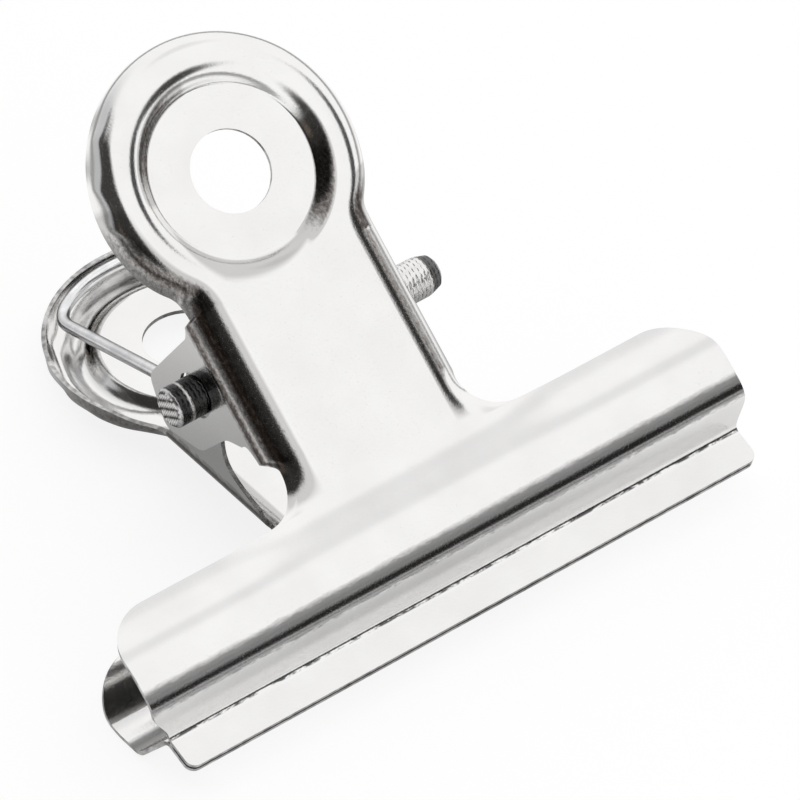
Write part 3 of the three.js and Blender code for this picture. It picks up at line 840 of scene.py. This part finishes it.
def knurled_pin():
    """The pin: a profile turned round the X axis, station by station, sunk by the relief of its
    ends. The right end is peened to a barrel by an eased drop of the radius. The end faces are
    rings whose radius shrinks to nothing. The relief is kept as an attribute for the grime."""
    half = front_half_width + pin_protrusion
    turn = np.linspace(0, 2 * math.pi, pin_sides + 1)[None]
    side = np.concatenate([
        np.linspace(-half + pin_chamfer, -front_half_width, pin_end_rings),
        np.linspace(-front_half_width, front_half_width, pin_middle_rings)[1:-1],
        np.linspace(front_half_width, half - pin_chamfer, pin_end_rings),
    ])[:, None]
    peened = pin_peening * smooth((side - half + peening_reach) / peening_span)
    groove = pin_relief(side, turn)
    r = pin_radius - peened - groove
    body = np.stack(np.broadcast_arrays(side, r * np.cos(turn), r * np.sin(turn)), -1)
    shrink = np.linspace(0, 1, pin_face_rings)[:, None]
    face_radius = pin_radius - pin_chamfer
    ends = []
    reliefs = []
    for sign, radius in ((-1, face_radius), (1, face_radius - pin_peening)):
        y = radius * shrink * np.cos(turn)
        z = radius * shrink * np.sin(turn)
        sunk = face_relief(y, z)
        x = sign * (half - sunk * smooth((1 - shrink) * 8))
        ends.append(np.stack([x, y, z], -1)[::-sign])
        reliefs.append((sunk / face_relief_depth)[::-sign])
    lathe = np.concatenate([ends[0], body, ends[1]])
    relief = np.concatenate([reliefs[0], groove / pin_relief_depth, reliefs[1]])
    points = lathe.reshape(-1, 3) + [pin_slip, -pin_offset, pin_height]
    quads = grid_quads(lathe, 0)[:, ::-1]
    return mesh_piece("knurled_pin", place(points), quads, {"relief": relief.ravel()})


# Colours of the finishes. White is the one that darkens nothing.
white = (1, 1, 1, 1)
plate_dull = (0.87, 0.86, 0.85, 1)
plate_bright = (0.92, 0.915, 0.905, 1)
# The faint and the dark grey of the painted reflection in the sheet's folds.
fold_reflection_faint = (0.68, 0.675, 0.67, 1)
fold_reflection_dark = (0.16, 0.14, 0.13, 1)
pin_steel = (0.88, 0.87, 0.86, 1)
pin_grime = (0.05, 0.05, 0.05, 1)
wire_dull = (0.8, 0.8, 0.81, 1)
wire_bright = (0.97, 0.97, 0.97, 1)
# The painted shade on the wire's flanks.
wire_flank_shade = (0.08, 0.08, 0.085, 1)
edge_dark = (0.26, 0.255, 0.25, 1)
edge_bright = (0.75, 0.745, 0.74, 1)
table_grey = (0.9, 0.9, 0.9, 1)

# A noise that is the same along all three axes.
unstretched = (1, 1, 1)


def node_material(name, metallic=0):
    """A node material, matt or a metal, with its tree and its Principled shader."""
    material = bpy.data.materials.new(name)
    material.use_nodes = True
    shader = material.node_tree.nodes["Principled BSDF"]
    shader.inputs["Metallic"].default_value = metallic
    return material, material.node_tree, shader


def feed(tree, socket, value):
    """Links an output to an input, or sets the input where the value is a plain one."""
    if isinstance(value, bpy.types.NodeSocket):
        tree.links.new(value, socket)
    else:
        socket.default_value = value


def object_place(tree):
    """The Object coordinates of the piece that wears the material."""
    return tree.nodes.new("ShaderNodeTexCoord").outputs["Object"]


def stored(tree, label):
    """The value of one of the piece's own attributes."""
    node = tree.nodes.new("ShaderNodeAttribute")
    node.attribute_name = label
    return node.outputs["Fac"]


def combined(tree, operation, first, second):
    """Two numbers put together by an operation, each an output or a plain one."""
    node = tree.nodes.new("ShaderNodeMath")
    node.operation = operation
    feed(tree, node.inputs[0], first)
    feed(tree, node.inputs[1], second)
    return node.outputs[0]


def blended(tree, share, first, second, kind="MIX"):
    """The first colour with a share of the second, each of the three an output or a plain value."""
    node = tree.nodes.new("ShaderNodeMix")
    node.data_type = "RGBA"
    node.blend_type = kind
    feed(tree, node.inputs[0], share)
    feed(tree, node.inputs[6], first)
    feed(tree, node.inputs[7], second)
    return node.outputs[2]


def mapped_noise(tree, stretch, scale, detail, roughness=0.5):
    """Noise read at Object coordinates that are first stretched axis by axis."""
    mapping = tree.nodes.new("ShaderNodeMapping")
    mapping.inputs["Scale"].default_value = stretch
    noise = tree.nodes.new("ShaderNodeTexNoise")
    noise.inputs["Scale"].default_value = scale
    noise.inputs["Detail"].default_value = detail
    noise.inputs["Roughness"].default_value = roughness
    tree.links.new(object_place(tree), mapping.inputs["Vector"])
    tree.links.new(mapping.outputs["Vector"], noise.inputs["Vector"])
    return noise.outputs["Fac"]


def ranged(tree, value, low, high, to_low=0, to_high=1):
    """A value carried from one range to another."""
    span = tree.nodes.new("ShaderNodeMapRange")
    span.inputs["From Min"].default_value = low
    span.inputs["From Max"].default_value = high
    span.inputs["To Min"].default_value = to_low
    span.inputs["To Max"].default_value = to_high
    tree.links.new(value, span.inputs["Value"])
    return span.outputs["Result"]


def marked_ramp(tree, value, marks, low, high):
    """Grey by a ramp that is white at both ends and has a level at each mark. Marks are pairs of a
    place and a level, and the ramp runs from the place low to the place high."""
    ramp = tree.nodes.new("ShaderNodeValToRGB")
    steps = ramp.color_ramp.elements
    steps[0].color = white
    steps[1].color = white
    for place_mm, level in marks:
        step = steps.new((place_mm - low) / (high - low))
        step.color = (level, level, level, 1)
    tree.links.new(value, ramp.inputs["Fac"])
    return ramp.outputs["Color"]


def bumped(tree, height, distance, normal=None):
    """A bump of the height in metres, laid over an earlier normal."""
    bump = tree.nodes.new("ShaderNodeBump")
    bump.inputs["Distance"].default_value = distance
    tree.links.new(height, bump.inputs["Height"])
    if normal is not None:
        tree.links.new(normal, bump.inputs["Normal"])
    return bump.outputs["Normal"]


def painted_bend_shade(tree, colour):
    """Darkens a colour with painted reflection and painted shade along the sheet's bends: a dark band
    on the outer bend of the gripping jaw, frayed by noise, a thin broken line of painted shade in the
    crease of the lip, and painted reflection in the folds of neck, rim and dished middle. The first
    two are ramps on the height above the lips that the relief attribute carries. The folds' amounts
    are in
    their own attribute: smooth and faint up to a set level, and above it a hatching of dark specks."""
    rise = stored(tree, "relief")
    fray = mapped_noise(tree, (0.25, 1, 1), scale=2600, detail=3, roughness=0.75)
    reach = bend_fray / relief_height
    frayed = combined(tree, "ADD", rise, ranged(tree, fray, 0.25, 0.75, -reach, reach))
    band = marked_ramp(tree, frayed, bend_painted_reflection, 0, relief_height)
    crease = marked_ramp(tree, rise, crease_painted_shade, 0, relief_height)
    breaks = mapped_noise(tree, (0.35, 1, 1), scale=1500, detail=3, roughness=0.7)
    unbroken = ranged(tree, breaks, 0.42, 0.55)
    fold_reflection = stored(tree, "fold_reflection")
    faint_reflection = blended(tree, ranged(tree, fold_reflection, 0, faint_reflection_level), white, fold_reflection_faint)
    hatch = mapped_noise(tree, (1, 0.5, 0.5), scale=3600, detail=4, roughness=0.8)
    hatch = ranged(tree, hatch, 0.25, 0.75, -hatch_depth, hatch_depth)
    hatched = combined(tree, "ADD", fold_reflection, hatch)
    dark_reflection = blended(tree, ranged(tree, hatched, 0.35, 1), white, fold_reflection_dark)
    for share, mask in ((1, band), (unbroken, crease), (1, faint_reflection), (1, dark_reflection)):
        colour = blended(tree, share, colour, mask, "MULTIPLY")
    return colour


def plated_sheet():
    """Bright nickel plate over rolled steel: nearly white, with a faint grain across the clip, fine
    specks that break up the dark reflections, and patches that are a little duller."""
    material, tree, shader = node_material("plated_sheet", 1)
    cloud = mapped_noise(tree, unstretched, scale=160, detail=4)
    tint = blended(tree, ranged(tree, cloud, 0.3, 0.7), plate_dull, plate_bright)
    # The tint is darkened by the painted reflection and shade of the bends.
    tree.links.new(painted_bend_shade(tree, tint), shader.inputs["Base Color"])
    dust = mapped_noise(tree, unstretched, scale=9000, detail=2, roughness=0.7)
    patches = ranged(tree, cloud, 0.3, 0.7, 0.07, 0.12)
    rough = combined(tree, "ADD", patches, ranged(tree, dust, 0.62, 0.72, 0, 0.35))
    tree.links.new(rough, shader.inputs["Roughness"])
    grain = mapped_noise(tree, (1, 0.06, 1), scale=6500, detail=2)
    specks = mapped_noise(tree, unstretched, scale=5200, detail=2, roughness=0.7)
    normal = bumped(tree, specks, 0.000009, bumped(tree, grain, 0.000003))
    tree.links.new(normal, shader.inputs["Normal"])
    return material


def brushed_pin():
    """Cut steel of the pin: bright crests with grime down in the pressed texture, turning lines
    round it, and painted shade read off Object X by a ramp: a dark stretch on the left between the
    ear and the end, broken by a lighter ring of painted highlight, and a dark band near the right
    end."""
    material, tree, shader = node_material("brushed_pin", 1)
    cloud = mapped_noise(tree, unstretched, scale=1800, detail=4, roughness=0.6)
    sunk = ranged(tree, stored(tree, "relief"), 0.3, 0.7)
    grime = combined(tree, "MULTIPLY", sunk, ranged(tree, cloud, 0.3, 0.5, 0.4, 1))
    tint = blended(tree, grime, pin_steel, pin_grime)
    split = tree.nodes.new("ShaderNodeSeparateXYZ")
    tree.links.new(object_place(tree), split.inputs["Vector"])
    along = ranged(tree, split.outputs["X"], -pin_ramp_reach / 1000, pin_ramp_reach / 1000)
    # Painted shade along the pin, with a lighter painted highlight ring on the left.
    painted_pin_shade = marked_ramp(tree, along, pin_painted_shade, -pin_ramp_reach, pin_ramp_reach)
    tree.links.new(blended(tree, 1, tint, painted_pin_shade, "MULTIPLY"), shader.inputs["Base Color"])
    tree.links.new(ranged(tree, cloud, 0.3, 0.7, 0.34, 0.18), shader.inputs["Roughness"])
    lines = mapped_noise(tree, (1, 0.05, 0.05), scale=9000, detail=2)
    tree.links.new(bumped(tree, lines, 0.00001), shader.inputs["Normal"])
    return material


def drawn_wire():
    """Drawn spring wire: bright and smooth, with fine lines and a few duller stretches, and painted
    shade on its flanks, darker the more they turn from the eye."""
    material, tree, shader = node_material("drawn_wire", 1)
    cloud = mapped_noise(tree, unstretched, scale=420, detail=4, roughness=0.6)
    tint = blended(tree, ranged(tree, cloud, 0.35, 0.6), wire_dull, wire_bright)
    turned = tree.nodes.new("ShaderNodeLayerWeight").outputs["Facing"]
    shaded_flanks = blended(tree, ranged(tree, turned, 0.4, 0.85), tint, wire_flank_shade)
    tree.links.new(shaded_flanks, shader.inputs["Base Color"])
    tree.links.new(ranged(tree, cloud, 0.3, 0.7, 0.24, 0.12), shader.inputs["Roughness"])
    lines = mapped_noise(tree, unstretched, scale=4200, detail=3, roughness=0.7)
    tree.links.new(bumped(tree, lines, 0.000015), shader.inputs["Normal"])
    return material


def sheared_edge():
    """The sheet's cut edge: bare steel, duller and darker than the plate, and cloudy."""
    material, tree, shader = node_material("sheared_edge", 1)
    shader.inputs["Roughness"].default_value = 0.38
    cloud = mapped_noise(tree, unstretched, scale=900, detail=4, roughness=0.6)
    tint = blended(tree, ranged(tree, cloud, 0.35, 0.65), edge_dark, edge_bright)
    tree.links.new(tint, shader.inputs["Base Color"])
    return material


def dress(piece, materials, node):
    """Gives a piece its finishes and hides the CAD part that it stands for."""
    piece.data.materials.clear()
    for material in materials:
        piece.data.materials.append(material)
    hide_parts(node)


sheet_finish = plated_sheet()
edge_finish = sheared_edge()
front_jaw = pressed_jaw("front_jaw_sheet", jaws["front"], True)
rear_jaw = pressed_jaw("rear_jaw_sheet", jaws["rear"], False)
spring_wire = bent_wire()
pivot_pin = knurled_pin()
dress(front_jaw, [sheet_finish, edge_finish], "front_jaw")
dress(rear_jaw, [sheet_finish, edge_finish], "rear_jaw")
dress(spring_wire, [drawn_wire()], "spring")
dress(pivot_pin, [brushed_pin()], "pivot_pin")
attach(front_jaw, "front")
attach(rear_jaw, "base")
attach(pivot_pin, "base")
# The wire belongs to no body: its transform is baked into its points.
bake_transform(spring_wire)


# Distance ranges on the table in metres and the brightness that reflections see at their ends: a
# painted shadow of the clip close by, and a painted fall-off into the dark of the room.
floor_painted_shadow = (0.018, 0.075, 0.25, 1)
floor_painted_falloff = (0.1, 0.2, 1, 0.36)
# Share of the table that is an even white to the camera, and that white's brightness.
floor_glow = 0.74
floor_white = 1.14
floor_reach = 3


def pale_floor():
    """A pale table. To the camera it is mostly an even white and for the rest a matt surface that
    keeps the clip's faint shadow. In reflections it glows white too, but with a painted shadow:
    greyer by ramps on the distance from the clip, close by and far away."""
    mesh = bpy.data.meshes.new("table")
    corners = [(floor_reach * x, floor_reach * y, 0) for x, y in ((-1, -1), (1, -1), (1, 1), (-1, 1))]
    mesh.from_pydata(corners, [], [(0, 1, 2, 3)])
    table = bpy.data.objects.new("table", mesh)
    bpy.context.collection.objects.link(table)
    material, tree, shader = node_material("table_white")
    shader.inputs["Base Color"].default_value = table_grey
    shader.inputs["Roughness"].default_value = 0.9
    shader.inputs["Specular IOR Level"].default_value = 0
    rays = tree.nodes.new("ShaderNodeLightPath").outputs
    away = tree.nodes.new("ShaderNodeVectorMath")
    away.operation = "LENGTH"
    tree.links.new(object_place(tree), away.inputs[0])
    # Painted shadow close to the clip and a painted fall-off far from it, seen in reflections only.
    near = ranged(tree, away.outputs["Value"], *floor_painted_shadow)
    far = ranged(tree, away.outputs["Value"], *floor_painted_falloff)
    mirrored = combined(tree, "MULTIPLY", near, far)
    seen = combined(tree, "MULTIPLY", rays["Is Camera Ray"], floor_white)
    glow = tree.nodes.new("ShaderNodeEmission")
    tree.links.new(combined(tree, "MAXIMUM", mirrored, seen), glow.inputs["Strength"])
    lit = combined(tree, "MULTIPLY", rays["Is Camera Ray"], floor_glow)
    bounced = combined(tree, "MAXIMUM", rays["Is Glossy Ray"], rays["Is Transmission Ray"])
    blend = tree.nodes.new("ShaderNodeMixShader")
    tree.links.new(combined(tree, "MAXIMUM", lit, bounced), blend.inputs["Fac"])
    tree.links.new(shader.outputs[0], blend.inputs[1])
    tree.links.new(glow.outputs[0], blend.inputs[2])
    tree.links.new(blend.outputs[0], tree.nodes["Material Output"].inputs["Surface"])
    mesh.materials.append(material)


def studio_camera():
    """The photograph's view: from the front left and 45 degrees above, through a long lens."""
    lens = bpy.data.cameras.new("camera")
    lens.lens = 377.867
    lens.sensor_width = 36
    lens.clip_start = 0.05
    lens.clip_end = 20
    camera = bpy.data.objects.new("camera", lens)
    camera.location = (-0.368753, -0.542464, 0.64954)
    camera.rotation_euler = (0.795667, 0.021852, -0.637487)
    bpy.context.collection.objects.link(camera)
    bpy.context.scene.camera = camera


def heading(azimuth, elevation):
    """Unit vector of a direction: azimuth 0 looks along +Y and grows towards +X."""
    turn = math.radians(azimuth)
    rise = math.radians(elevation)
    return (math.sin(turn) * math.cos(rise), math.cos(turn) * math.cos(rise), math.sin(rise))


# The room as soft round patches laid one over the other: azimuth, elevation, the angles from the
# centre where the patch is full and where it ends, and its colour.
room_patches = [
    (61, 59, 2, 15, (0.85, 0.85, 0.855)),
    (-60, 5, 20, 75, (0.52, 0.525, 0.535)),
    (-98, 42, 27, 40, (0.05, 0.048, 0.046)),
    (-140, 44, 14, 26, (0.05, 0.048, 0.046)),
    (-106, 21, 2, 9, (0.16, 0.13, 0.11)),
    (-52, 44, 8, 18, (0.065, 0.063, 0.06)),
    (124, 31, 8, 15, (0.07, 0.07, 0.07)),
    (148, 20, 10, 18, (0.06, 0.058, 0.056)),
]


def studio_world():
    """A white room with the grey and dark patches that the polished metal mirrors. Each patch is a
    ramp on the cosine between the direction looked in and the patch's centre."""
    world = bpy.data.worlds.new("studio")
    world.use_nodes = True
    tree = world.node_tree
    aim = tree.nodes.new("ShaderNodeTexCoord").outputs["Generated"]
    room = white
    for azimuth, elevation, inner, outer, colour in room_patches:
        cosine = tree.nodes.new("ShaderNodeVectorMath")
        cosine.operation = "DOT_PRODUCT"
        cosine.inputs[1].default_value = heading(azimuth, elevation)
        ramp = tree.nodes.new("ShaderNodeMapRange")
        ramp.interpolation_type = "SMOOTHSTEP"
        ramp.inputs["From Min"].default_value = math.cos(math.radians(outer))
        ramp.inputs["From Max"].default_value = math.cos(math.radians(inner))
        tree.links.new(aim, cosine.inputs[0])
        tree.links.new(cosine.outputs["Value"], ramp.inputs["Value"])
        room = blended(tree, ramp.outputs["Result"], room, (*colour, 1))
    tree.links.new(room, tree.nodes["Background"].inputs["Color"])
    tree.nodes["Background"].inputs["Strength"].default_value = 1
    bpy.context.scene.world = world


pale_floor()
studio_camera()
studio_world()
bpy.context.scene.view_settings.view_transform = "Standard"
